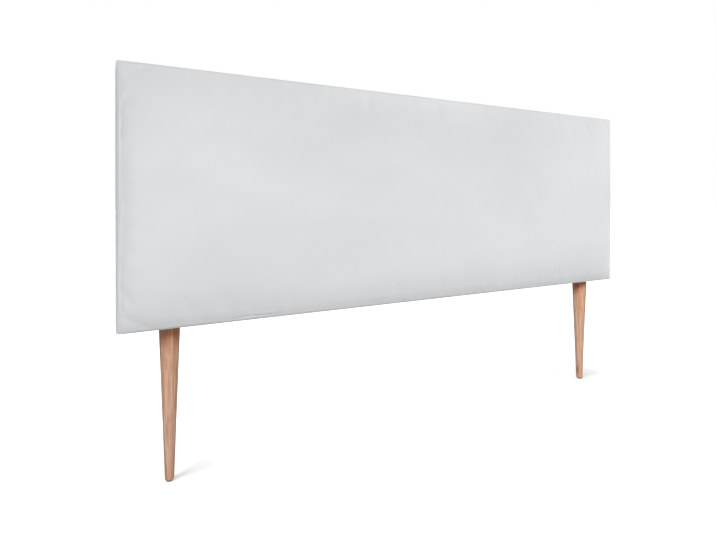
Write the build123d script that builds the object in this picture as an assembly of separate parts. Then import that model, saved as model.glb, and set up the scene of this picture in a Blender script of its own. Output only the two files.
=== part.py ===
from build123d import *
import math
import os

# Padded headboard on two tapered legs, seen from the front:
# X runs to the right, Y to the back and Z up. The floor is z = 0.

# Panel
panel_width = 1600.0
panel_height = 570.0
underside_height = 350.0
corner_radius = 6.0

# Layers, from the front to the back
skin = 1.0
foam_depth = 25.0
board_thickness = 3.0
frame_depth = 50.0
dust_cover_thickness = 0.6

# Crown of the padded face: how far in and how far back its shoulder reaches
shoulder_run = 80.0
shoulder_drop = 14.0
shoulder_steps = 4
corner_growth_share = 0.5
foam_gap = 0.2

# Turned-in edge of the cover, and the dust cover over it
return_width = 60.0
dust_cover_inset = 15.0

# Wooden frame
rail_width = 70.0
end_stile_width = 70.0
inner_stile_width = 45.0
lap_share = 0.5

# Staples: the long ones hold the half laps, the others the board and the cloths
staple_crown = 10.0
staple_wire_width = 1.2
staple_wire_thickness = 0.6
lap_staple_leg = 38.0
lap_staple_place_share = 0.25
board_staple_leg = 14.0
board_staple_pitch = 240.0
cover_staple_leg = 8.0
cover_staple_pitch = 190.0
cover_staple_margin = 8.0
dust_staple_leg = 8.0
dust_staple_pitch = 160.0
dust_staple_margin = 6.0

# Keyhole plates on the back of the top rail
hanger_inset = 260.0
hanger_drop = 38.0
hanger_width = 60.0
hanger_height = 36.0
hanger_thickness = 2.0
hanger_corner = 3.0
hanger_gap = 4.0
keyhole_radius = 5.0
keyhole_slot_radius = 2.5
keyhole_slot_rise = 11.0
keyhole_below_centre = 5.0
keyhole_relief_margin = 1.5
keyhole_relief_depth = 12.0
hanger_screw_spacing = 44.0
hanger_screw_radius = 1.75
hanger_screw_head_radius = 3.75
hanger_screw_length = 22.0
hanger_screw_point = 3.0
recess_span = 4.0
recess_slot = 1.1
recess_depth = 1.1

# Legs
leg_inset = 110.0
leg_top_radius = 23.2
leg_tip_radius = 10.0
leg_tip_round = 3.0
leg_tip_steps = 2

# Hanger bolt and threaded insert between each leg and the bottom rail
bolt_radius = 4.0
bolt_in_leg = 36.0
bolt_in_rail = 18.0
bolt_hole_gap = 0.5
bolt_end_room = 5.0
insert_radius = 6.0
insert_length = 20.0
insert_thread_gap = 0.1

# Glides under the legs, and their nails
glide_radius = 7.0
glide_height = 2.5
nail_radius = 1.2
nail_head_radius = 2.8
nail_head_thickness = 0.8
nail_length = 18.0

# Depth positions. The whole depth is centred on y = 0.
panel_depth = skin + foam_depth + board_thickness + frame_depth + skin
whole_depth = panel_depth + hanger_thickness
crown_y = -whole_depth / 2
board_front_y = crown_y + skin + foam_depth
frame_front_y = board_front_y + board_thickness
lap_y = frame_front_y + frame_depth * lap_share
frame_back_y = frame_front_y + frame_depth
frame_centre_y = (frame_front_y + frame_back_y) / 2
cover_back_y = frame_back_y + skin
dust_cover_back_y = cover_back_y + dust_cover_thickness
hanger_back_y = cover_back_y + hanger_thickness

# Heights and places across the panel
panel_centre_z = underside_height + panel_height / 2
frame_width = panel_width - 2 * skin
frame_height = panel_height - 2 * skin
rail_reach = (frame_height - rail_width) / 2
rail_heights = [panel_centre_z - rail_reach, panel_centre_z + rail_reach]
end_stile_x = (frame_width - end_stile_width) / 2
inner_stile_x = end_stile_x / 3
leg_x = panel_width / 2 - leg_inset
hanger_x = panel_width / 2 - hanger_inset
hanger_z = underside_height + panel_height - hanger_drop
keyhole_z = hanger_z - keyhole_below_centre

sides = {"left": -1, "right": 1}
stiles = {
    "left_stile": (-end_stile_x, end_stile_width),
    "left_inner_stile": (-inner_stile_x, inner_stile_width),
    "right_inner_stile": (inner_stile_x, inner_stile_width),
    "right_stile": (end_stile_x, end_stile_width),
}


# Basic shapes

def between(front_y, back_y, outline):
    """Thicken an outline drawn in X and Z from one depth to another."""
    return extrude(Plane.XZ.offset(-back_y) * outline, amount=back_y - front_y)


def panel_slab(width, height, radius, front_y, back_y):
    """Upright plate on the panel's centre with rounded corners."""
    outline = Pos(0, panel_centre_z) * RectangleRounded(width, height, radius)
    return between(front_y, back_y, outline)


def block(x, z, width, height, front_y, back_y):
    """Square-edged block centred on x and z."""
    return between(front_y, back_y, Pos(x, z) * Rectangle(width, height))


def turned(points):
    """Solid of revolution about Z from an outline of radius and height."""
    return revolve(Plane.XZ * make_face(Polyline(*points, close=True)), Axis.Z)


def facing_front(shape, x, y, z):
    """Turn the top of a shape to the front and set it at x, y, z."""
    return Pos(x, y, z) * Rot(X=90) * shape


def facing_back(shape, x, y, z):
    """Turn the top of a shape to the back and set it at x, y, z."""
    return Pos(x, y, z) * Rot(X=-90) * shape


def spread(length, pitch):
    """Even places along a length, about a pitch apart and centred on zero."""
    count = max(1, round(length / pitch))
    return [(index + 0.5) * length / count - length / 2 for index in range(count)]


# Padded face

def crown_ring(depth_in, angle):
    """Outline of the padded face at one angle round its shoulder."""
    run = (shoulder_run - depth_in) * (1 - math.cos(angle))
    drop = (shoulder_drop - depth_in) * (1 - math.sin(angle))
    inset = depth_in + run
    radius = corner_radius - depth_in + corner_growth_share * run
    outline = RectangleRounded(panel_width - 2 * inset, panel_height - 2 * inset, radius)
    return Plane.XZ.offset(-(crown_y + depth_in + drop)) * Pos(0, panel_centre_z) * outline


def padded_block(depth_in, back_y):
    """Crowned block that lies depth_in inside the outer face of the cover."""
    angles = [step * math.pi / 2 / shoulder_steps for step in range(shoulder_steps + 1)]
    crown = loft([crown_ring(depth_in, angle) for angle in angles], ruled=True)
    width = panel_width - 2 * depth_in
    height = panel_height - 2 * depth_in
    rim_front_y = crown_y + shoulder_drop
    return crown + panel_slab(width, height, corner_radius - depth_in, rim_front_y, back_y)


def upholstery_cover():
    """Leatherette over the face and edges, turned onto the back round a window."""
    shell = padded_block(0, cover_back_y) - padded_block(skin, frame_back_y)
    width = panel_width - 2 * return_width
    height = panel_height - 2 * return_width
    return shell - block(0, panel_centre_z, width, height, frame_back_y, cover_back_y)


def foam_pad():
    return padded_block(skin + foam_gap, board_front_y)


def front_board():
    """Hardboard behind the foam."""
    radius = corner_radius - skin
    return panel_slab(frame_width, frame_height, radius, board_front_y, frame_front_y)


def hanger_notch(x):
    """Room in the dust cover round a keyhole plate, open at the top."""
    width = hanger_width + 2 * hanger_gap
    low = hanger_z - hanger_height / 2 - hanger_gap
    high = underside_height + panel_height
    return block(x, (low + high) / 2, width, high - low, cover_back_y, dust_cover_back_y)


def dust_cover():
    """Thin cloth that closes the back, cut away round the keyhole plates."""
    width = panel_width - 2 * dust_cover_inset
    height = panel_height - 2 * dust_cover_inset
    cloth = block(0, panel_centre_z, width, height, cover_back_y, dust_cover_back_y)
    return cloth - [hanger_notch(sign * hanger_x) for sign in sides.values()]


# Frame with half laps: the stiles run through at the front and the rails at the back

def frame_member(x, z, width, height):
    """Timber whose outer corners follow the inside of the cover."""
    radius = corner_radius - skin
    outline = panel_slab(frame_width, frame_height, radius, frame_front_y, frame_back_y)
    return block(x, z, width, height, frame_front_y, frame_back_y) & outline


def rail(z):
    body = frame_member(0, z, frame_width, rail_width)
    for x, width in stiles.values():
        body -= block(x, z, width, rail_width, frame_front_y, lap_y)
    return body


def stile(x, width):
    body = frame_member(x, panel_centre_z, width, frame_height)
    for z in rail_heights:
        body -= block(x, z, width, rail_width, lap_y, frame_back_y)
    return body


# Staples and screws, made pointing down with the top of the crown or head at z = 0

def staple(leg):
    outer = staple_crown / 2
    inner = outer - staple_wire_thickness
    under = -staple_wire_thickness
    points = [(-outer, 0), (outer, 0), (outer, -leg), (inner, -leg)]
    points += [(inner, under), (-inner, under), (-inner, -leg), (-outer, -leg)]
    outline = Plane.XZ * make_face(Polyline(*points, close=True))
    return extrude(outline, amount=staple_wire_width / 2, both=True)


def lap_staples():
    """Two long staples in each half lap, driven from the front of the frame."""
    level = staple(lap_staple_leg)
    placed = []
    for x, width in stiles.values():
        for z in rail_heights:
            for side in sides.values():
                across = x + side * width * lap_staple_place_share
                up = z + side * rail_width * lap_staple_place_share
                placed.append(facing_front(level, across, frame_front_y, up))
    return placed


def board_staples():
    """Staples through the hardboard, flush with its face, along every timber."""
    level = staple(board_staple_leg)
    upright = Rot(Z=90) * level
    placed = []
    for z in rail_heights:
        for x in spread(frame_width, board_staple_pitch):
            placed.append(facing_front(level, x, board_front_y, z))
    for x, _ in stiles.values():
        for z in spread(frame_height - 2 * rail_width, board_staple_pitch):
            placed.append(facing_front(upright, x, board_front_y, panel_centre_z + z))
    return placed


def staple_ring(leg, inset, pitch, y):
    """Staples along the four sides of the back, but none under or beside a keyhole plate."""
    level = staple(leg)
    upright = Rot(Z=90) * level
    reach_x = panel_width / 2 - inset
    reach_z = panel_height / 2 - inset
    room = (hanger_width + staple_crown) / 2 + hanger_gap + staple_wire_width
    placed = []
    for side in sides.values():
        for x in spread(2 * reach_x, pitch):
            if side < 0 or abs(abs(x) - hanger_x) > room:
                placed.append(facing_back(level, x, y, panel_centre_z + side * reach_z))
        for z in spread(2 * reach_z, pitch):
            placed.append(facing_back(upright, side * reach_x, y, panel_centre_z + z))
    return placed


def cover_staples():
    """Staples pressed flush into the turned-in cover, under the dust cover."""
    inset = return_width - cover_staple_margin
    return staple_ring(cover_staple_leg, inset, cover_staple_pitch, cover_back_y)


def dust_cover_staples():
    """Staples that lie on the dust cover near its edge."""
    inset = dust_cover_inset + dust_staple_margin
    crown_top_y = dust_cover_back_y + staple_wire_thickness
    return staple_ring(dust_staple_leg, inset, dust_staple_pitch, crown_top_y)


def screw_blank(point):
    """Countersunk screw without its recess, or with no point the hole drilled for it."""
    low = -hanger_screw_length
    shank_top = hanger_screw_radius - hanger_screw_head_radius
    points = [(0, 0), (hanger_screw_head_radius, 0), (hanger_screw_radius, shank_top)]
    return turned(points + [(hanger_screw_radius, low + point), (0, low)])


def hanger_screw():
    depth = 2 * recess_depth
    recess = Box(recess_span, recess_slot, depth) + Box(recess_slot, recess_span, depth)
    return screw_blank(hanger_screw_point) - recess


def at_hanger_screws(shape):
    """The shape at each of the two screw places of both keyhole plates."""
    placed = []
    for side in sides.values():
        for end in sides.values():
            x = side * hanger_x + end * hanger_screw_spacing / 2
            placed.append(facing_back(shape, x, hanger_back_y, hanger_z))
    return placed


# Keyhole plates

def keyhole(x):
    """Round entry with a narrow slot above it, through the plate."""
    outline = Pos(x, keyhole_z) * Circle(keyhole_radius)
    slot_middle = keyhole_z + keyhole_slot_rise / 2
    outline += Pos(x, slot_middle) * Rectangle(2 * keyhole_slot_radius, keyhole_slot_rise)
    outline += Pos(x, keyhole_z + keyhole_slot_rise) * Circle(keyhole_slot_radius)
    return between(cover_back_y, hanger_back_y, outline)


def keyhole_relief(x):
    """Pocket behind the plate for the head of the wall screw, all along the slot."""
    width = 2 * (keyhole_radius + keyhole_relief_margin)
    middle = keyhole_z + keyhole_slot_rise / 2
    bottom_y = frame_back_y - keyhole_relief_depth
    return block(x, middle, width, width + keyhole_slot_rise, bottom_y, cover_back_y)


def hanger(x):
    outline = Pos(x, hanger_z) * RectangleRounded(hanger_width, hanger_height, hanger_corner)
    return between(cover_back_y, hanger_back_y, outline) - keyhole(x)


# Legs with their bolts, inserts, glides and nails

def leg_bolt(x):
    """Bolt that stands out of the top of the leg."""
    column = extrude(Circle(bolt_radius), amount=bolt_in_leg + skin + bolt_in_rail)
    return Pos(x, frame_centre_y, underside_height - bolt_in_leg) * column


def bolt_hole(x):
    """Clearance for the bolt through the cover and into the bottom rail."""
    length = skin + bolt_in_rail + bolt_end_room
    hole = extrude(Circle(bolt_radius + bolt_hole_gap), amount=length)
    return Pos(x, frame_centre_y, underside_height) * hole


def insert_column(x, radius):
    """Column as high as the threaded insert, up from the underside of the rail."""
    column = extrude(Circle(radius), amount=insert_length)
    return Pos(x, frame_centre_y, underside_height + skin) * column


def insert_nut(x):
    return insert_column(x, insert_radius) - insert_column(x, bolt_radius + insert_thread_gap)


def glide_nail(x):
    """Nail through the glide, its head flush with the underside."""
    points = [(0, 0), (nail_head_radius, 0), (nail_head_radius, nail_head_thickness)]
    points += [(nail_radius, nail_head_thickness), (nail_radius, nail_length), (0, nail_length)]
    return Pos(x, frame_centre_y) * turned(points)


def glide(x):
    disc = extrude(Circle(glide_radius), amount=glide_height)
    return Pos(x, frame_centre_y) * disc - glide_nail(x)


def leg(x):
    """Straight taper with a rounded tip."""
    points = [(0, glide_height)]
    for step in range(leg_tip_steps + 1):
        angle = step * math.pi / 2 / leg_tip_steps
        radius = leg_tip_radius - leg_tip_round * (1 - math.sin(angle))
        points.append((radius, glide_height + leg_tip_round * (1 - math.cos(angle))))
    points += [(leg_top_radius, underside_height), (0, underside_height)]
    return Pos(x, frame_centre_y) * turned(points) - leg_bolt(x) - glide_nail(x)


# Assembly: what the screws, bolts and inserts pass through is cut by them

def build_parts():
    left, right = (sign * leg_x for sign in sides.values())
    screw_holes = at_hanger_screws(screw_blank(0))
    back_cuts = screw_holes + [keyhole_relief(sign * hanger_x) for sign in sides.values()]
    bolt_holes = [bolt_hole(left), bolt_hole(right)]
    insert_seats = [insert_column(left, insert_radius), insert_column(right, insert_radius)]

    parts = {}
    parts["upholstery_cover"] = upholstery_cover() - (back_cuts + bolt_holes)
    parts["foam_pad"] = foam_pad()
    parts["front_board"] = front_board()
    parts["dust_cover"] = dust_cover()
    parts["bottom_rail"] = rail(rail_heights[0]) - (bolt_holes + insert_seats)
    parts["top_rail"] = rail(rail_heights[1]) - back_cuts
    for name, (x, width) in stiles.items():
        parts[name] = stile(x, width)
    for side, sign in sides.items():
        parts[side + "_leg"] = leg(sign * leg_x)

    groups = {
        "lap_staples": lap_staples(),
        "board_staples": board_staples(),
        "cover_staples": cover_staples(),
        "dust_cover_staples": dust_cover_staples(),
        "hangers": [hanger(sign * hanger_x) - screw_holes for sign in sides.values()],
        "hanger_screws": at_hanger_screws(hanger_screw()),
        "leg_bolts": [leg_bolt(left), leg_bolt(right)],
        "insert_nuts": [insert_nut(left), insert_nut(right)],
        "glides": [glide(left), glide(right)],
        "glide_nails": [glide_nail(left), glide_nail(right)],
    }
    for name, solids in groups.items():
        parts[name] = Compound(children=solids)
    return parts


os.makedirs("parts", exist_ok=True)
for name, shape in build_parts().items():
    export_step(shape, f"parts/{name}.step")
    print(f"{name}: {len(shape.solids())} solids, {shape.volume:.0f} mm3")
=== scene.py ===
import bpy
import math
import numpy as np
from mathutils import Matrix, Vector, noise


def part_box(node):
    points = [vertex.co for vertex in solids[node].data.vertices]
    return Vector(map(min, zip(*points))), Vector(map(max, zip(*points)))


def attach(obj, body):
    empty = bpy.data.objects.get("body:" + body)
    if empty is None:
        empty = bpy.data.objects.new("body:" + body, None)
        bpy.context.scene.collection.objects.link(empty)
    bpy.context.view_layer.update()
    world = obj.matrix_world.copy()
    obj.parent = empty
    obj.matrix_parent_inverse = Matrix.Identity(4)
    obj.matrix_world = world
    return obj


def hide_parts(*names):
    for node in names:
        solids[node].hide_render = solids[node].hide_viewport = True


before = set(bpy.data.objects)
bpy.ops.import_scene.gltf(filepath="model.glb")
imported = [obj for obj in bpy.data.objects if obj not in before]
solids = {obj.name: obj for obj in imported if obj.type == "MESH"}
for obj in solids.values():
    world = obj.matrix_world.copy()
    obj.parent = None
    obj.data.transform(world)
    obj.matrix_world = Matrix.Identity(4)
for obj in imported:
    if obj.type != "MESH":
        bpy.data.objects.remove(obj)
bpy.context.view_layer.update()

# Sizes are in metres. The boxes of the cover, the dust cloth and the plates come from the solids.

# Cover: its thickness, the edge turned onto the back, and its rounds
SKIN = 0.001
RETURN = 0.060
CORNER = 0.005
BACK_ROUND = 0.002

# Crown of the face: how far in it ends, how far it falls, how fast its corners grow rounder
CROWN_RUN = 0.080
CROWN_DROP = 0.014
CROWN_GROWTH = 0.5

# Share of the crown that is lost at the very corner, and how far in that reaches
CORNER_LOSS = 0.66
CORNER_REACH = 0.036

# Puff of the face: band held along the edge, steps, and how far it may stand out
PUFF_HELD = 0.010
PUFF_STEPS = 20
PUFF_AT_EDGE = 0.0003
PUFF_INSIDE = 0.0072
PUFF_REACH = 0.075

# Ridge next to the edge, where the cover bends round the board
RIDGE_INSET = 0.0055
RIDGE_WIDTH = 0.0017
RIDGE_HEIGHT = 0.0006

# Unevenness of the face: height and scale of the broad swells and of the fine ones
BROAD_SWELL = 0.0012
BROAD_SCALE = 2.6
FINE_SWELL = 0.0003
FINE_SCALE = 9.0

# Pulls from the staples: where they start, how far in they reach, and the scale of their sway
PULL_START = 0.004
PULL_REACH = 0.022
SWAY_SCALE = 5.0

# The pulls of the rims and of the ends: height, rate along the edge, sway, scale of patches, seed
RIM_PULLS = (0.0001, 92, 2.2, 3.1, 3)
END_PULLS = (0.0003, 88, 2.0, 4.0, 4)

# Laps of the turned-in edge at the corners of the back, seen up to the dust cloth
LAP_WIDTH = 0.016
LAP_HEIGHT = 0.0007
LAP_TO_CLOTH = 0.001
CREASE_WIDTH = 0.0015
CREASE_DEPTH = 0.0005
BACK_LAYER = 0.0002

# Foam: its gap behind the cover, and the depth and scale of its small hollows
FOAM_GAP = 0.0034
HOLLOW_DEPTH = 0.0002
HOLLOW_SCALE = 14.0

# Dust cloth: thickness, inset from the edge, and the notches round the plates
CLOTH_THICK = 0.0005
CLOTH_INSET = 0.015
NOTCH_GAP = 0.004
NOTCH_WIDTH = 0.068

# Sag of the dust cloth: where it starts, the width over which it grows, its depth and how it varies
SAG_START = 0.055
SAG_RUN = 0.12
SAG_DEPTH = 0.0022
SAG_VARIES = 0.0012
SAG_SCALE = 4.0

# How far to each side a stile holds the dust cloth up, and the wrinkles of the cloth
STILE_HOLDS = 0.05
WRINKLE_DEPTH = 0.0002
WRINKLE_SCALE = 22.0

# Fineness of the meshes: steps across the crown and spacing on the flat, rings on the edges
COVER_STEPS, COVER_PITCH = 14, 0.012
FOAM_STEPS, FOAM_PITCH = 6, 0.030
CLOTH_PITCH = 0.012
SIDE_RINGS = 8
TURN_RINGS = 3
RETURN_RINGS = 5
FOAM_RINGS = 2

# Halvings in the search for a point's inset, and what keeps a division away from zero
HALVINGS = 32
TINY = 1e-9

# Kinds of points on the skin
FACE, SIDE, BACK = 0, 1, 2

# The share of the crown's depth that counts as the front when the face is shaped
FRONT_SHARE = 0.9


# Mesh helpers

def mesh_object(name, points, faces):
    mesh = bpy.data.meshes.new(name)
    mesh.from_pydata([tuple(p) for p in points], [], [tuple(f) for f in faces])
    mesh.validate()
    mesh.shade_smooth()
    thing = bpy.data.objects.new(name, mesh)
    bpy.context.scene.collection.objects.link(thing)
    return thing


def points_of(mesh):
    flat = np.empty(len(mesh.vertices) * 3)
    mesh.vertices.foreach_get("co", flat)
    return flat.reshape(-1, 3)


def set_points(mesh, points):
    mesh.vertices.foreach_set("co", np.asarray(points, np.float32).ravel())
    mesh.update()


def modify(thing, kind, **settings):
    """Add one modifier and apply it to the mesh."""
    modifier = thing.modifiers.new(kind.title(), kind)
    for key, value in settings.items():
        setattr(modifier, key, value)
    apply_modifiers(thing)


def apply_modifiers(thing):
    """Put the mesh as it looks with its modifiers in place of the plain one."""
    graph = bpy.context.evaluated_depsgraph_get()
    shown = bpy.data.meshes.new_from_object(thing.evaluated_get(graph))
    thing.modifiers.clear()
    thing.data = shown
    shown.shade_smooth()


def grid_points(lines_x, lines_z):
    """X and Z of each crossing of the lines, numbered along Z first."""
    return (a.ravel() for a in np.meshgrid(lines_x, lines_z, indexing="ij"))


def grid_quads(count_x, count_z):
    """Faces between the crossings of a grid."""
    number = np.arange(count_x * count_z).reshape(count_x, count_z)
    corners = [number[:-1, :-1], number[1:, :-1], number[1:, 1:], number[:-1, 1:]]
    return np.stack(corners, -1).reshape(-1, 4)


def grid_rim(count_x, count_z):
    """Numbers of the crossings round the edge of a grid, in order."""
    number = np.arange(count_x * count_z).reshape(count_x, count_z)
    return np.concatenate([number[:-1, 0], number[-1, :-1], number[:0:-1, -1], number[0, :0:-1]])


def waves(points, scale, seed):
    """Soft noise from about -1 to 1 at each point."""
    shift = Vector((seed * 7.31, seed * 3.17, seed * 5.77))
    return np.array([noise.noise(Vector(p) * scale + shift) for p in points])


def bell(value, middle, width):
    """1 at the middle, falling to 0 on both sides."""
    return np.exp(-((value - middle) / width) ** 2)


# Upholstery: one skin from the middle of the face over the edges and onto the back

def grid_lines(half, steps, pitch):
    """Lines across the face, close together near both edges."""
    insets = [CROWN_RUN * (k / steps) ** 2 for k in range(steps)]
    flat = half - CROWN_RUN
    middle = np.linspace(-flat, flat, max(2, round(2 * flat / pitch)) + 1)
    edge = np.array([half - inset for inset in insets])
    return np.concatenate([-edge, middle, edge[::-1]])


def round_corners(x, z, half_x, half_z, radius):
    """Draw the grid's square corners in to a quarter circle."""
    core_x, core_z = half_x - radius, half_z - radius
    over_x = np.maximum(np.abs(x) - core_x, 0)
    over_z = np.maximum(np.abs(z) - core_z, 0)
    reach = np.hypot(over_x, over_z)
    share = np.where(reach > 0, np.maximum(over_x, over_z) / np.maximum(reach, TINY), 1)
    new_x = np.sign(x) * (np.minimum(np.abs(x), core_x) + over_x * share)
    new_z = np.sign(z) * (np.minimum(np.abs(z), core_z) + over_z * share)
    return new_x, new_z


def inset_of(x, z, half_x, half_z, radius):
    """How far inside the outline each point lies, on rings whose corners grow rounder."""
    low, high = np.zeros_like(x), np.full_like(x, half_z)
    for _ in range(HALVINGS):
        inset = (low + high) / 2
        ring = radius + CROWN_GROWTH * np.minimum(inset, CROWN_RUN)
        out_x = np.abs(x) - (half_x - inset - ring)
        out_z = np.abs(z) - (half_z - inset - ring)
        far = np.hypot(np.maximum(out_x, 0), np.maximum(out_z, 0))
        outside = far + np.minimum(np.maximum(out_x, out_z), 0) > ring
        high = np.where(outside, inset, high)
        low = np.where(outside, low, inset)
    return (low + high) / 2


def crown_depth(inset, drop):
    """How far behind the flat of the face the crown lies at an inset."""
    share = 1 - np.clip(inset / CROWN_RUN, 0, 1)
    return drop * (1 - np.sqrt(1 - share ** 2))


def corner_loss(to_end, to_rim):
    """The share of its crown that the filling loses towards the four corners."""
    return CORNER_LOSS * np.exp(-np.hypot(to_rim, to_end) / CORNER_REACH)


def edge_distances(points, low, high):
    """How far each point lies inside the ends, along X, and inside the rims, along Z."""
    middle_z, half_z = (low.z + high.z) / 2, (high.z - low.z) / 2
    return high.x - np.abs(points[:, 0]), half_z - np.abs(points[:, 2] - middle_z)


def ring_at(edge, inset, half_x, half_z, radius, y):
    """The outline drawn in by an inset, keeping a small round at its corners."""
    core_x, core_z = half_x - radius, half_z - radius
    base = np.stack([np.clip(edge[:, 0], -core_x, core_x), np.clip(edge[:, 2], -core_z, core_z)], 1)
    away = np.stack([edge[:, 0], edge[:, 2]], 1) - base
    away /= np.maximum(np.linalg.norm(away, axis=1, keepdims=True), TINY)
    left = max(radius - inset, radius / 4)
    scale = np.array([(half_x - inset - left) / core_x, (half_z - inset - left) / core_z])
    flat = base * scale + away * left
    return np.stack([flat[:, 0], np.full(len(flat), y), flat[:, 1]], 1)


def skin_points(low, high, sink, steps, pitch, side_levels, return_levels):
    """Points, faces and kinds of the skin, and the numbers of its last ring."""
    half_x, half_z = (high.x - low.x) / 2 - sink, (high.z - low.z) / 2 - sink
    radius = CORNER - sink / 2
    lines_x, lines_z = grid_lines(half_x, steps, pitch), grid_lines(half_z, steps, pitch)
    x, z = grid_points(lines_x, lines_z)
    x, z = round_corners(x, z, half_x, half_z, radius)
    depth = crown_depth(inset_of(x, z, half_x, half_z, radius), CROWN_DROP - sink)
    face = np.stack([x, low.y + sink + depth, z], 1)
    quads = list(grid_quads(len(lines_x), len(lines_z)))
    last = grid_rim(len(lines_x), len(lines_z))
    edge = face[last]
    points, kinds = [face], [np.full(len(face), FACE)]
    for level, (inset, y) in enumerate(side_levels + return_levels):
        points.append(ring_at(edge, inset, half_x, half_z, radius, y))
        kinds.append(np.full(len(edge), SIDE if level < len(side_levels) else BACK))
        now = np.arange(len(edge)) + sum(len(p) for p in points[:-1])
        quads += list(np.stack([last, now, np.roll(now, -1), np.roll(last, -1)], 1))
        last = now
    points = np.concatenate(points)
    points[:, 2] += (low.z + high.z) / 2
    return points, quads, np.concatenate(kinds), last


def make_cover():
    low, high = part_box("upholstery_cover")
    shoulder_y = low.y + CROWN_DROP
    flat_end = high.y - BACK_ROUND
    sides = [(0.0, y) for y in np.linspace(shoulder_y, flat_end, SIDE_RINGS + 1)[1:]]
    turn = [math.pi / 2 * k / TURN_RINGS for k in range(1, TURN_RINGS + 1)]
    sides += [(BACK_ROUND * (1 - math.cos(a)), flat_end + BACK_ROUND * math.sin(a)) for a in turn]
    back = [(inset, high.y) for inset in np.linspace(BACK_ROUND, RETURN, RETURN_RINGS + 1)[1:]]
    points, quads, kinds, _ = skin_points(low, high, 0.0, COVER_STEPS, COVER_PITCH, sides, back)
    cover = mesh_object("leatherette_cover", points, quads)
    puff(cover, kinds)
    modify(cover, "SUBSURF", levels=1)
    pucker(cover, low, high)
    modify(cover, "SOLIDIFY", thickness=SKIN, offset=-1)
    return cover


def puff(cover, kinds):
    """Blow the face up as cloth over the foam, then hold it to a few millimetres."""
    rest = points_of(cover.data)
    half_x, half_z = np.ptp(rest[:, 0]) / 2, np.ptp(rest[:, 2]) / 2
    middle_z = (rest[:, 2].max() + rest[:, 2].min()) / 2
    inside = inset_of(rest[:, 0], rest[:, 2] - middle_z, half_x, half_z, CORNER)
    held = cover.vertex_groups.new(name="held")
    still = np.flatnonzero((kinds > FACE) | (inside < PUFF_HELD))
    held.add([int(i) for i in still], 1.0, "REPLACE")
    settings = cover.modifiers.new("Cloth", "CLOTH").settings
    settings.vertex_group_mass = "held"
    settings.use_pressure = True
    settings.uniform_pressure_force = 4
    settings.effector_weights.gravity = 0
    settings.quality = 6
    settings.tension_stiffness = settings.compression_stiffness = 40
    settings.bending_stiffness = 4
    settings.shrink_min = -0.004
    scene = bpy.context.scene
    for number in range(1, PUFF_STEPS + 1):
        scene.frame_set(number)
    apply_modifiers(cover)
    scene.frame_set(1)
    moved = points_of(cover.data) - rest
    cap = PUFF_AT_EDGE + PUFF_INSIDE * (1 - np.exp(-inside / PUFF_REACH))
    length = np.maximum(np.linalg.norm(moved, axis=1), TINY)
    share = cap * np.tanh(length / cap) / length
    share[kinds > FACE] = 0
    set_points(cover.data, rest + moved * share[:, None])
    cover.vertex_groups.clear()


# Each fold: where along the edge, half its length, how far in from the edge, height
TOP_FOLDS = [
    (-0.745, 0.050, 0.0075, 0.0009),
    (-0.720, 0.060, 0.0150, -0.0007),
    (-0.310, 0.060, 0.0090, 0.0007),
    (0.420, 0.080, 0.0080, 0.0005),
]
LOW_FOLDS = [
    (-0.520, 0.050, 0.0090, -0.0013),
    (-0.480, 0.040, 0.0150, 0.0011),
    (0.400, 0.060, 0.0090, -0.0012),
    (0.460, 0.050, 0.0160, 0.0010),
    (0.050, 0.050, 0.0090, 0.0006),
]
END_FOLDS = [
    (0.780, 0.028, 0.0110, -0.0008),
    (0.600, 0.040, 0.0090, 0.0005),
    (0.440, 0.035, 0.0100, -0.0006),
]

# How wide a fold is, how far it wanders and how fast, and how much lower the right end's folds are
FOLD_WIDTH = 0.0022
FOLD_WANDER = 0.0012
WANDER_RATE = 55
WANDER_SHIFT = 40
RIGHT_END_LOWER = 0.07

# A distance from the edge at which no fold is left
FAR_OFF = 1


def folds(along, to_edge, rows):
    """Ridges and dents that run along an edge, wandering a little."""
    lift = np.zeros_like(along)
    for place, reach, depth, height in rows:
        wander = FOLD_WANDER * np.sin(along * WANDER_RATE + place * WANDER_SHIFT)
        lift += height * bell(along, place, reach) * bell(to_edge, depth + wander, FOLD_WIDTH)
    return lift


def all_folds(x, z, to_end, to_rim, middle_z):
    """The folds of the upper and the lower rim and of both ends."""
    lift = folds(x, np.where(z > middle_z, to_rim, FAR_OFF), TOP_FOLDS)
    lift += folds(x, np.where(z < middle_z, to_rim, FAR_OFF), LOW_FOLDS)
    lift += folds(z, np.where(x < 0, to_end, FAR_OFF), END_FOLDS)
    lift += folds(z + RIGHT_END_LOWER, np.where(x > 0, to_end, FAR_OFF), END_FOLDS)
    return lift


def staple_pulls(points, axis, to_edge, height, rate, sway, patches, seed):
    """Small pulls from the staples, in patches along a pair of edges."""
    along = points * np.eye(3)[axis]
    pulls = np.sin(points[:, axis] * rate + sway * waves(along, SWAY_SCALE, seed))
    pulls *= waves(along, patches, seed + 3)
    near = np.exp(-to_edge / PULL_REACH) * (1 - np.exp(-to_edge / PULL_START))
    return height * pulls * near


def mitre_laps(to_end, to_rim):
    """The turned-in edge laps over itself at each corner, with a crease along the mitre."""
    mitre = np.abs(to_end - to_rim)
    lap = LAP_HEIGHT * (to_end > to_rim) * np.clip(1 - mitre / LAP_WIDTH, 0, 1)
    return lap - CREASE_DEPTH * bell(mitre, 0, CREASE_WIDTH)


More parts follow.
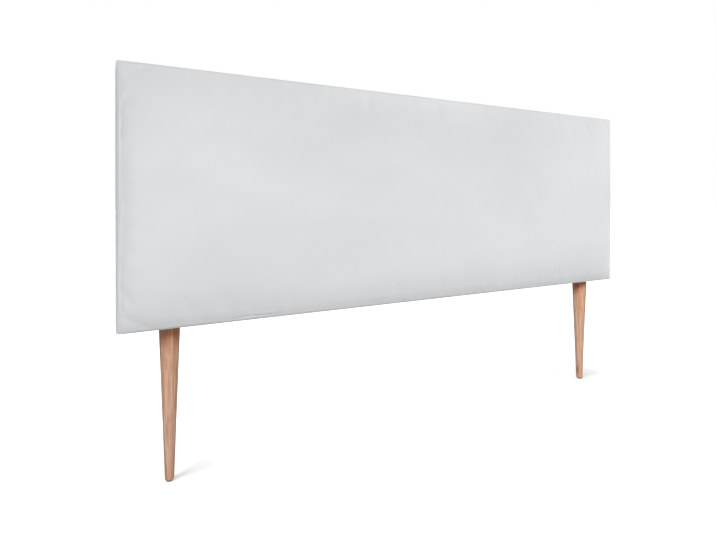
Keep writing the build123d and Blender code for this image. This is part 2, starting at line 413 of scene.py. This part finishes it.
def pucker(cover, low, high):
    """Unevenness, pulls and folds of the face, its flatter corners, and the laps on the back."""
    mesh = cover.data
    points = points_of(mesh)
    to_end, to_rim = edge_distances(points, low, high)
    lift = staple_pulls(points, 0, to_rim, *RIM_PULLS) + staple_pulls(points, 2, to_end, *END_PULLS)
    lift += all_folds(points[:, 0], points[:, 2], to_end, to_rim, (low.z + high.z) / 2)
    lift += BROAD_SWELL * waves(points * [1, 0, 1.8], BROAD_SCALE, 1)
    lift += FINE_SWELL * waves(points * [0.6, 0, 1], FINE_SCALE, 2)
    to_edge = np.minimum(to_rim, to_end)
    lift += RIDGE_HEIGHT * bell(to_edge, RIDGE_INSET, RIDGE_WIDTH)
    shoulder_y = low.y + CROWN_DROP
    lifted = points[:, 1] - lift
    lifted += corner_loss(to_end, to_rim) * (shoulder_y - lifted)
    front = points[:, 1] < low.y + FRONT_SHARE * CROWN_DROP
    points[:, 1] = np.where(front, lifted, points[:, 1])
    back = points[:, 1] > high.y - BACK_LAYER
    left_open = (to_rim > BACK_ROUND) & (to_edge < CLOTH_INSET - LAP_TO_CLOTH)
    points[:, 1] += np.where(back & left_open, mitre_laps(to_end, to_rim), 0)
    set_points(mesh, points)


def make_foam():
    low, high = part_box("upholstery_cover")
    back_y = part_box("foam_pad")[1].y
    shoulder_y = low.y + CROWN_DROP
    sink = SKIN + FOAM_GAP
    sides = [(0.0, y) for y in np.linspace(shoulder_y, back_y, FOAM_RINGS + 1)[1:]]
    points, quads, _, last = skin_points(low, high, sink, FOAM_STEPS, FOAM_PITCH, sides, [])
    foam = mesh_object("foam_block", points, quads + [last[::-1]])
    cover_height = shoulder_y - points[:, 1] + sink
    sunk = HOLLOW_DEPTH * np.abs(waves(points, HOLLOW_SCALE, 5))
    sunk += corner_loss(*edge_distances(points, low, high)) * cover_height
    points[:, 1] += np.where(points[:, 1] < shoulder_y, sunk, 0)
    set_points(foam.data, points)
    return foam


# Dust cloth on the back, cut away round the two plates

def cloth_lines(half, breaks):
    """Even lines that also run exactly through the places where the cut turns."""
    stops = sorted({-half, half, *breaks})
    parts = []
    for a, b in zip(stops, stops[1:]):
        parts.append(np.linspace(a, b, max(1, round((b - a) / CLOTH_PITCH)) + 1)[:-1])
    return np.append(np.concatenate(parts), half)


def slack(to_edge):
    """0 where the cloth is held by the frame, growing to 1 inside it."""
    return np.clip(to_edge - SAG_START, 0, SAG_RUN) / SAG_RUN


def make_dust_cloth():
    low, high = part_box("dust_cover")
    plate_low, plate_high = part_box("hangers")
    stile_low, stile_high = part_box("right_inner_stile")
    middle_z, half_z = (low.z + high.z) / 2, (high.z - low.z) / 2
    outer = plate_high.x + NOTCH_GAP
    inner = outer - NOTCH_WIDTH
    notch_z = plate_low.z - NOTCH_GAP
    lines_x = cloth_lines(high.x, [-outer, -inner, inner, outer])
    lines_z = cloth_lines(half_z, [notch_z - middle_z]) + middle_z
    x, z = grid_points(lines_x, lines_z)
    quads = grid_quads(len(lines_x), len(lines_z))
    centre_x, centre_z = np.abs(x[quads].mean(1)), z[quads].mean(1)
    cut = (centre_x > inner) & (centre_x < outer) & (centre_z > notch_z)
    points = np.stack([x, np.full_like(x, high.y), z], 1)
    to_end, to_rim = edge_distances(points, low, high)
    stile = bell(np.abs(x), (stile_low.x + stile_high.x) / 2, STILE_HOLDS)
    sag = np.minimum(slack(to_end), slack(to_rim)) * (1 - stile)
    sag *= SAG_DEPTH + SAG_VARIES * waves(points, SAG_SCALE, 8)
    wrinkles = WRINKLE_DEPTH * np.abs(waves(points * [1.0, 1.0, 0.35], WRINKLE_SCALE, 9))
    points[:, 1] -= np.clip(sag + wrinkles, 0, None)
    cloth = mesh_object("dust_cloth", points, [q[::-1] for q in quads[~cut]])
    modify(cloth, "SOLIDIFY", thickness=CLOTH_THICK, offset=-1)
    return cloth


# Material nodes

def add_node(tree, kind, **settings):
    made = tree.nodes.new(kind)
    for key, value in settings.items():
        setattr(made, key, value)
    return made


def seen_directly(tree):
    """1 for what the camera and mirrors see directly, else 0."""
    path = add_node(tree, "ShaderNodeLightPath")
    either = add_node(tree, "ShaderNodeMath", operation="MAXIMUM")
    tree.links.new(path.outputs["Is Camera Ray"], either.inputs[0])
    tree.links.new(path.outputs["Is Glossy Ray"], either.inputs[1])
    return either.outputs[0]


class Look:
    """A node material under construction. Its pattern follows the object's own place."""

    def __init__(self, name):
        self.material = bpy.data.materials.new(name)
        self.material.use_nodes = True
        self.tree = self.material.node_tree
        self.shader = self.tree.nodes["Principled BSDF"]
        self.place = self.node("ShaderNodeTexCoord").outputs["Object"]
        self.normal = None

    def node(self, kind, **settings):
        return add_node(self.tree, kind, **settings)

    def put(self, socket, value):
        """Link an output to a socket, or set its number or its colour of three parts."""
        if isinstance(value, bpy.types.NodeSocket):
            self.tree.links.new(value, socket)
        elif socket.type == "RGBA":
            socket.default_value = (*value, 1)
        else:
            socket.default_value = value

    def stretched(self, scale):
        """The place scaled by one number, or by three to stretch the pattern."""
        mapping = self.node("ShaderNodeMapping")
        self.put(mapping.inputs["Vector"], self.place)
        self.put(mapping.inputs["Scale"], scale if isinstance(scale, tuple) else (scale,) * 3)
        return mapping.outputs["Vector"]

    def noise(self, scale, detail=3.0, roughness=0.5, distortion=0.0):
        made = self.node("ShaderNodeTexNoise")
        self.put(made.inputs["Vector"], self.stretched(scale))
        self.put(made.inputs["Scale"], 1.0)
        self.put(made.inputs["Detail"], detail)
        self.put(made.inputs["Roughness"], roughness)
        self.put(made.inputs["Distortion"], distortion)
        return made.outputs["Fac"]

    def cells(self, scale, smooth=0.3):
        made = self.node("ShaderNodeTexVoronoi", feature="SMOOTH_F1")
        self.put(made.inputs["Vector"], self.stretched(scale))
        self.put(made.inputs["Scale"], 1.0)
        self.put(made.inputs["Smoothness"], smooth)
        return made.outputs["Distance"]

    def ramp(self, value, *stops):
        """Colours or greys along 0 to 1: stops are (place, colour)."""
        made = self.node("ShaderNodeValToRGB")
        self.put(made.inputs["Fac"], value)
        band = made.color_ramp.elements
        while len(band) < len(stops):
            band.new(0.5)
        for element, (place, colour) in zip(band, stops):
            element.position = place
            element.color = (*colour, 1) if isinstance(colour, tuple) else (colour, colour, colour, 1)
        return made.outputs["Color"]

    def mix(self, share, a, b, blend="MIX"):
        made = self.node("ShaderNodeMix", data_type="RGBA", blend_type=blend)
        for socket, value in ((made.inputs[0], share), (made.inputs[6], a), (made.inputs[7], b)):
            self.put(socket, value)
        return made.outputs[2]

    def multiply(self, a, b):
        made = self.node("ShaderNodeMath", operation="MULTIPLY")
        self.put(made.inputs[0], a)
        self.put(made.inputs[1], b)
        return made.outputs[0]

    def between(self, value, start, end, low=0.0, high=1.0):
        """Low up to the start, high from the end on, and an even change from one to the other."""
        made = self.node("ShaderNodeMapRange")
        for socket, number in zip(made.inputs[:5], (value, start, end, low, high)):
            self.put(socket, number)
        return made.outputs[0]

    def by_height(self, start, end):
        """0 at the starting height and 1 at the end."""
        parts = self.node("ShaderNodeSeparateXYZ")
        self.put(parts.inputs[0], self.place)
        return self.between(parts.outputs["Z"], start, end)

    def bump(self, height, distance, strength=1.0):
        made = self.node("ShaderNodeBump")
        self.put(made.inputs["Height"], height)
        self.put(made.inputs["Distance"], distance)
        self.put(made.inputs["Strength"], strength)
        if self.normal:
            self.put(made.inputs["Normal"], self.normal)
        self.normal = made.outputs["Normal"]

    def soften(self, radius):
        """Broken edges without a change to the mesh."""
        made = self.node("ShaderNodeBevel", samples=4)
        self.put(made.inputs["Radius"], radius)
        self.normal = made.outputs["Normal"]

    def done(self, colour, roughness, **others):
        self.put(self.shader.inputs["Base Color"], colour)
        self.put(self.shader.inputs["Roughness"], roughness)
        for name, value in others.items():
            self.put(self.shader.inputs[name.replace("_", " ")], value)
        if self.normal:
            self.put(self.shader.inputs["Normal"], self.normal)
        return self.material


# Materials

# Painted shade: the cover darker just above its lower rim, the legs darker and warmer just below it
PAINTED_SHADE_FULL = 0.005
COVER_PAINTED_SHADE = 0.032
LEG_PAINTED_SHADE = 0.065


def leatherette():
    grey, pale_grey, worn_grey = (0.722, 0.730, 0.746), (0.780, 0.786, 0.798), (0.66, 0.67, 0.69)
    rim_shade_colour = (0.88, 0.88, 0.88)
    look = Look("leatherette")
    clouds = look.noise((2.2, 2.2, 5.0), 3.0)
    mottle = look.noise((18.0, 26.0, 34.0), 4.0)
    colour = look.mix(look.ramp(clouds, (0.32, 0.0), (0.68, 1.0)), grey, pale_grey)
    colour = look.mix(look.ramp(mottle, (0.35, 0.0), (0.75, 0.10)), colour, worn_grey)
    # Painted shade: the cover is darker just above its lower rim
    rim_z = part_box("upholstery_cover")[0].z
    rim_shade_mask = look.by_height(rim_z + COVER_PAINTED_SHADE, rim_z + PAINTED_SHADE_FULL)
    colour = look.mix(rim_shade_mask, colour, rim_shade_colour, "MULTIPLY")
    pores = look.cells(850.0)
    look.bump(look.noise(45.0, 2.0), 0.0004, 0.35)
    look.bump(pores, 0.00016, 0.40)
    look.bump(look.noise(2600.0, 2.0), 0.00004, 0.35)
    roughness = look.ramp(mottle, (0.2, 0.37), (0.8, 0.45))
    return look.done(colour, roughness, Specular_IOR_Level=0.42)


def foam_look():
    cream, pale_cream = (0.80, 0.76, 0.60), (0.88, 0.85, 0.72)
    look = Look("foam")
    colour = look.mix(look.noise(60.0), cream, pale_cream)
    look.bump(look.cells(900.0), 0.0005, 0.8)
    return look.done(colour, 0.95)


def dust_cloth_look():
    black, dark_grey = (0.018, 0.018, 0.020), (0.060, 0.060, 0.065)
    look = Look("dust_cloth")
    fibres = look.noise((900.0, 900.0, 260.0), 4.0, distortion=1.2)
    colour = look.mix(look.ramp(fibres, (0.35, 0.0), (0.75, 1.0)), black, dark_grey)
    look.bump(look.cells(620.0), 0.00025, 0.6)
    look.bump(fibres, 0.0002, 0.6)
    return look.done(colour, 0.88)


def beech():
    brown, middle, pale = (0.57, 0.32, 0.20), (0.63, 0.395, 0.29), (0.68, 0.46, 0.365)
    dark_streak, pale_streak, fine_line = (0.47, 0.225, 0.115), (0.74, 0.545, 0.455), (0.44, 0.235, 0.14)
    fleck, knot, leg_top_shade_colour = (0.30, 0.15, 0.09), (0.20, 0.10, 0.055), (1.02, 0.74, 0.60)
    look = Look("beech")
    streaks = look.noise((210.0, 210.0, 3.2), 3.0, 0.55, 0.5)
    broad = look.noise((62.0, 62.0, 1.6), 3.0, 0.5, 0.4)
    fine = look.noise((700.0, 700.0, 9.0), 3.0)
    flecks = look.noise((1100.0, 1100.0, 150.0), 2.0)
    knots = look.cells((26.0, 26.0, 5.0), 0.0)
    colour = look.ramp(broad, (0.36, brown), (0.50, middle), (0.64, pale))
    colour = look.mix(look.ramp(streaks, (0.38, 0.0), (0.48, 0.75), (0.56, 0.0)), colour, dark_streak)
    colour = look.mix(look.ramp(streaks, (0.55, 0.0), (0.68, 0.80)), colour, pale_streak)
    colour = look.mix(look.ramp(fine, (0.44, 0.0), (0.72, 0.40)), colour, fine_line)
    colour = look.mix(look.ramp(flecks, (0.62, 0.0), (0.72, 0.5)), colour, fleck)
    colour = look.mix(look.ramp(knots, (0.035, 0.8), (0.09, 0.0)), colour, knot)
    # Painted shade: the legs' tops darker and warmer just under the panel, added to the lamps' real
    # shadow there
    rim_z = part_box("upholstery_cover")[0].z
    leg_top_shade_mask = look.by_height(rim_z - LEG_PAINTED_SHADE, rim_z - PAINTED_SHADE_FULL)
    colour = look.mix(leg_top_shade_mask, colour, leg_top_shade_colour, "MULTIPLY")
    look.bump(fine, 0.0001, 0.4)
    return look.done(colour, look.ramp(fine, (0.2, 0.50), (0.8, 0.62)), Specular_IOR_Level=0.16)


def pine(name, along):
    """Planed pine whose grain runs along X (0) or Z (2)."""
    late, early = (0.60, 0.40, 0.20), (0.80, 0.62, 0.38)
    late_again, pale = (0.66, 0.45, 0.23), (0.83, 0.66, 0.43)
    fine_line, knot = (0.50, 0.32, 0.16), (0.20, 0.10, 0.05)
    long, wide, finer = 1.4, 38.0, 9
    knot_long, knot_wide = 2.2, 9.0
    look = Look(name)
    scale = tuple(long if axis == along else wide for axis in range(3))
    rings = look.noise(scale, 3.0, 0.45, 0.6)
    fine = look.noise(tuple(s * finer for s in scale), 3.0)
    knots = look.cells(tuple(knot_long if axis == along else knot_wide for axis in range(3)), 0.1)
    colour = look.ramp(rings, (0.32, late), (0.46, early), (0.52, late_again), (0.70, pale))
    colour = look.mix(look.ramp(fine, (0.4, 0.0), (0.8, 0.30)), colour, fine_line)
    colour = look.mix(look.ramp(knots, (0.03, 0.85), (0.09, 0.0)), colour, knot)
    look.soften(0.0012)
    look.bump(fine, 0.0003, 0.5)
    return look.done(colour, 0.62)


def hardboard():
    dark_brown, brown = (0.20, 0.115, 0.060), (0.38, 0.245, 0.140)
    look = Look("hardboard")
    fibres = look.noise(300.0, 5.0, 0.7)
    colour = look.mix(fibres, dark_brown, brown)
    look.bump(fibres, 0.0003, 0.5)
    return look.done(colour, 0.55)


def zinc(name, tint):
    dulled = 0.80
    look = Look(name)
    spangle = look.cells(160.0, 0.05)
    scratches = look.noise((60.0, 60.0, 2400.0), 3.0)
    dull_tint = tuple(dulled * part for part in tint)
    colour = look.mix(look.ramp(spangle, (0.2, 0.0), (0.8, 0.6)), dull_tint, tint)
    look.soften(0.0002)
    look.bump(scratches, 0.00003, 0.5)
    roughness = look.ramp(look.noise(220.0), (0.3, 0.36), (0.7, 0.54))
    return look.done(colour, roughness, Metallic=1.0)


def nylon():
    dark_brown, brown = (0.26, 0.165, 0.115), (0.32, 0.21, 0.15)
    look = Look("glide_nylon")
    colour = look.mix(look.noise(90.0), dark_brown, brown)
    look.bump(look.noise(1500.0), 0.00005, 0.6)
    return look.done(colour, 0.5)


# Edges of the round solids stay sharp from this angle on, in degrees
SHARP_ANGLE = 35


def dress(thing, material):
    thing.data.materials.clear()
    thing.data.materials.append(material)


def dress_solids():
    stiles = [name for name in solids if name.endswith("stile")]
    staples = [name for name in solids if name.endswith("staples")]
    fittings = ["hangers", "hanger_screws", "leg_bolts", "insert_nuts", "glide_nails"]
    steel_tint, wire_tint = (0.42, 0.43, 0.45), (0.44, 0.44, 0.45)
    rows = [
        (pine("pine_along_x", 0), ["top_rail", "bottom_rail"]),
        (pine("pine_upright", 2), stiles),
        (zinc("zinc_steel", steel_tint), fittings),
        (zinc("staple_wire", wire_tint), staples),
        (hardboard(), ["front_board"]),
        (nylon(), ["glides"]),
        (beech(), ["left_leg", "right_leg"]),
    ]
    for material, names in rows:
        for name in names:
            dress(solids[name], material)
    for name in ("left_leg", "right_leg", "glides", "insert_nuts", "leg_bolts", "hanger_screws"):
        solids[name].data.set_sharp_from_angle(angle=math.radians(SHARP_ANGLE))


def place_soft_pieces():
    cover, foam, cloth = make_cover(), make_foam(), make_dust_cloth()
    rows = [
        (cover, leatherette(), "upholstery_cover", "leatherette"),
        (foam, foam_look(), "foam_pad", "foam"),
        (cloth, dust_cloth_look(), "dust_cover", "dust_cloth"),
    ]
    for piece, material, node, slot in rows:
        dress(piece, material)
        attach(piece, "root")
        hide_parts(node)


# Studio

# The white is seen by the camera and in mirrors only. What lights the headboard is the dim air
# with its tint, the lamps, and the little that the floor gives back.
AIR = 0.40
AIR_TINT = (0.97, 0.985, 1.0)
FLOOR_HALF = 40
FLOOR_SEEN = 0.90
FLOOR_BOUNCE = 0.09

# The floor's own glow is weaker near the feet, so that a lamp can throw the legs' shadow there
FLOOR_GLOW = 0.405
NEAR_FOOT = 0.10
AWAY_FROM_FOOT = 0.30

# Each lamp: place, aim, size, power, what it lights, what throws its shadow
LAMPS = {
    "middle": ((0.2, -3.2, 0.9), (0.0, 0.0, 0.6), 1.0, 19.5, "panel", None),
    "middle_left": ((-1.6, -2.8, 0.9), (-0.4, 0.0, 0.6), 1.0, 15.5, "panel", None),
    "front_right": ((3.5, -2.1, 0.6), (0.3, 0.0, 0.6), 1.4, 10, "panel", None),
    "left": ((-3.0, -1.6, 0.9), (-0.8, 0.0, 0.6), 1.2, 0.6, "panel", None),
    "far_left": ((-3.5, -1.0, 1.4), (-0.5, 0.0, 0.6), 1.0, 1.2, "panel", None),
    "far_right": ((3.5, -1.0, 1.4), (0.5, 0.0, 0.6), 1.0, 6.5, "panel", None),
    "low_left": ((-1.3, -2.2, 0.35), (-0.5, 0.0, 0.45), 0.8, 8.5, "panel", None),
    "low_middle": ((0.1, -2.6, 0.35), (0.0, 0.0, 0.45), 0.8, 2.5, "panel", None),
    "low_right": ((1.5, -2.2, 0.35), (0.5, 0.0, 0.45), 0.8, 9.5, "panel", None),
    "top_right": ((1.7, -1.4, 2.6), (0.5, 0.0, 0.6), 1.0, 10.5, "panel", None),
    "high": ((-1.2, -2.0, 3.3), (0.0, 0.0, 0.3), 1.8, 180, "near_leg", None),
    "high_far": ((-1.6, -2.2, 2.5), (0.6, 0.0, 0.2), 1.2, 158, "far_leg", None),
    "low": ((-0.6, -2.6, 0.3), (0.0, 0.0, 0.2), 1.0, 14, "legs", None),
    "back": ((0.6, 3.2, 1.6), (0.0, 0.0, 0.6), 2.0, 26, "part", None),
    "foot": ((-5.0, -1.6, 4.4), (0.0, 0.0, 0.0), 3.3, 285, "ground", "legs"),
}

# Camera: its place, its turn in degrees, its sensor in millimetres, its shift in picture widths
CAMERA_PLACE = (-0.815, -1.093, 0.625)
CAMERA_TURN = -26.15
SENSOR = 36
LENS_SHIFT = (0.0303, -0.0947)

# Focal length and width of the photograph, both in its pixels
FOCAL_PIXELS = 465.8
PHOTO_PIXELS = 716

# Nearest and farthest distance that the camera shows
CAMERA_RANGE = (0.05, 100)


def make_floor():
    corners = [(-1, -1), (1, -1), (1, 1), (-1, 1)]
    points = [(x * FLOOR_HALF, y * FLOOR_HALF, 0) for x, y in corners]
    floor = mesh_object("floor", points, [(0, 1, 2, 3)])
    foot = (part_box("right_leg")[0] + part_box("right_leg")[1]) / 2
    look = Look("white_floor")
    folded = look.node("ShaderNodeVectorMath", operation="ABSOLUTE")
    look.put(folded.inputs[0], look.place)
    to_foot = look.node("ShaderNodeVectorMath", operation="DISTANCE")
    look.put(to_foot.inputs[0], folded.outputs[0])
    look.put(to_foot.inputs[1], (foot.x, foot.y, 0))
    glow = look.between(to_foot.outputs["Value"], NEAR_FOOT, AWAY_FROM_FOOT, FLOOR_GLOW, 1.0)
    seen = seen_directly(look.tree)
    look.put(look.shader.inputs["Emission Color"], (1, 1, 1))
    look.put(look.shader.inputs["Emission Strength"], look.multiply(seen, glow))
    colour = look.mix(seen, (FLOOR_BOUNCE,) * 3, (FLOOR_SEEN,) * 3)
    dress(floor, look.done(colour, 0.9, Specular_IOR_Level=0.0))
    return floor


def make_world():
    world = bpy.data.worlds.new("studio")
    bpy.context.scene.world = world
    world.use_nodes = True
    tree = world.node_tree
    air = tree.nodes["Background"]
    air.inputs["Color"].default_value = (*AIR_TINT, 1)
    air.inputs["Strength"].default_value = AIR
    white = add_node(tree, "ShaderNodeBackground")
    white.inputs["Color"].default_value = (1, 1, 1, 1)
    both = add_node(tree, "ShaderNodeMixShader")
    tree.links.new(seen_directly(tree), both.inputs[0])
    tree.links.new(air.outputs[0], both.inputs[1])
    tree.links.new(white.outputs[0], both.inputs[2])
    tree.links.new(both.outputs[0], tree.nodes["World Output"].inputs["Surface"])


def gather(name, things):
    group = bpy.data.collections.new(name)
    for thing in things:
        group.objects.link(thing)
    return group


def make_lamp(name, groups, place, aim, size, power, lit, shade):
    lamp = bpy.data.lights.new(name, "AREA")
    lamp.shape, lamp.size, lamp.energy = "SQUARE", size, power
    holder = bpy.data.objects.new(name, lamp)
    bpy.context.scene.collection.objects.link(holder)
    holder.location = place
    holder.rotation_euler = (Vector(aim) - Vector(place)).to_track_quat("-Z", "Y").to_euler()
    holder.light_linking.receiver_collection = groups[lit]
    if shade:
        holder.light_linking.blocker_collection = groups[shade]


def make_studio():
    scene = bpy.context.scene
    scene.view_settings.view_transform = "Standard"
    part = [thing for thing in scene.objects if thing.type == "MESH"]
    near_leg, far_leg, glides = solids["left_leg"], solids["right_leg"], solids["glides"]
    legs = [near_leg, far_leg, glides]
    members = {
        "part": part,
        "panel": [thing for thing in part if thing not in legs],
        "legs": legs,
        "near_leg": [near_leg, glides],
        "far_leg": [far_leg],
        "ground": [make_floor()],
    }
    groups = {name: gather(name, things) for name, things in members.items()}
    make_world()
    for name, row in LAMPS.items():
        make_lamp(name, groups, *row)


def make_camera():
    """Level camera of the photograph, with its lens shifted to frame the legs."""
    data = bpy.data.cameras.new("camera")
    data.sensor_width = SENSOR
    data.lens = SENSOR * FOCAL_PIXELS / PHOTO_PIXELS
    data.shift_x, data.shift_y = LENS_SHIFT
    data.clip_start, data.clip_end = CAMERA_RANGE
    camera = bpy.data.objects.new("camera", data)
    bpy.context.scene.collection.objects.link(camera)
    camera.location = CAMERA_PLACE
    camera.rotation_euler = (math.radians(90), 0, math.radians(CAMERA_TURN))
    bpy.context.scene.camera = camera


place_soft_pieces()
dress_solids()
make_studio()
make_camera()
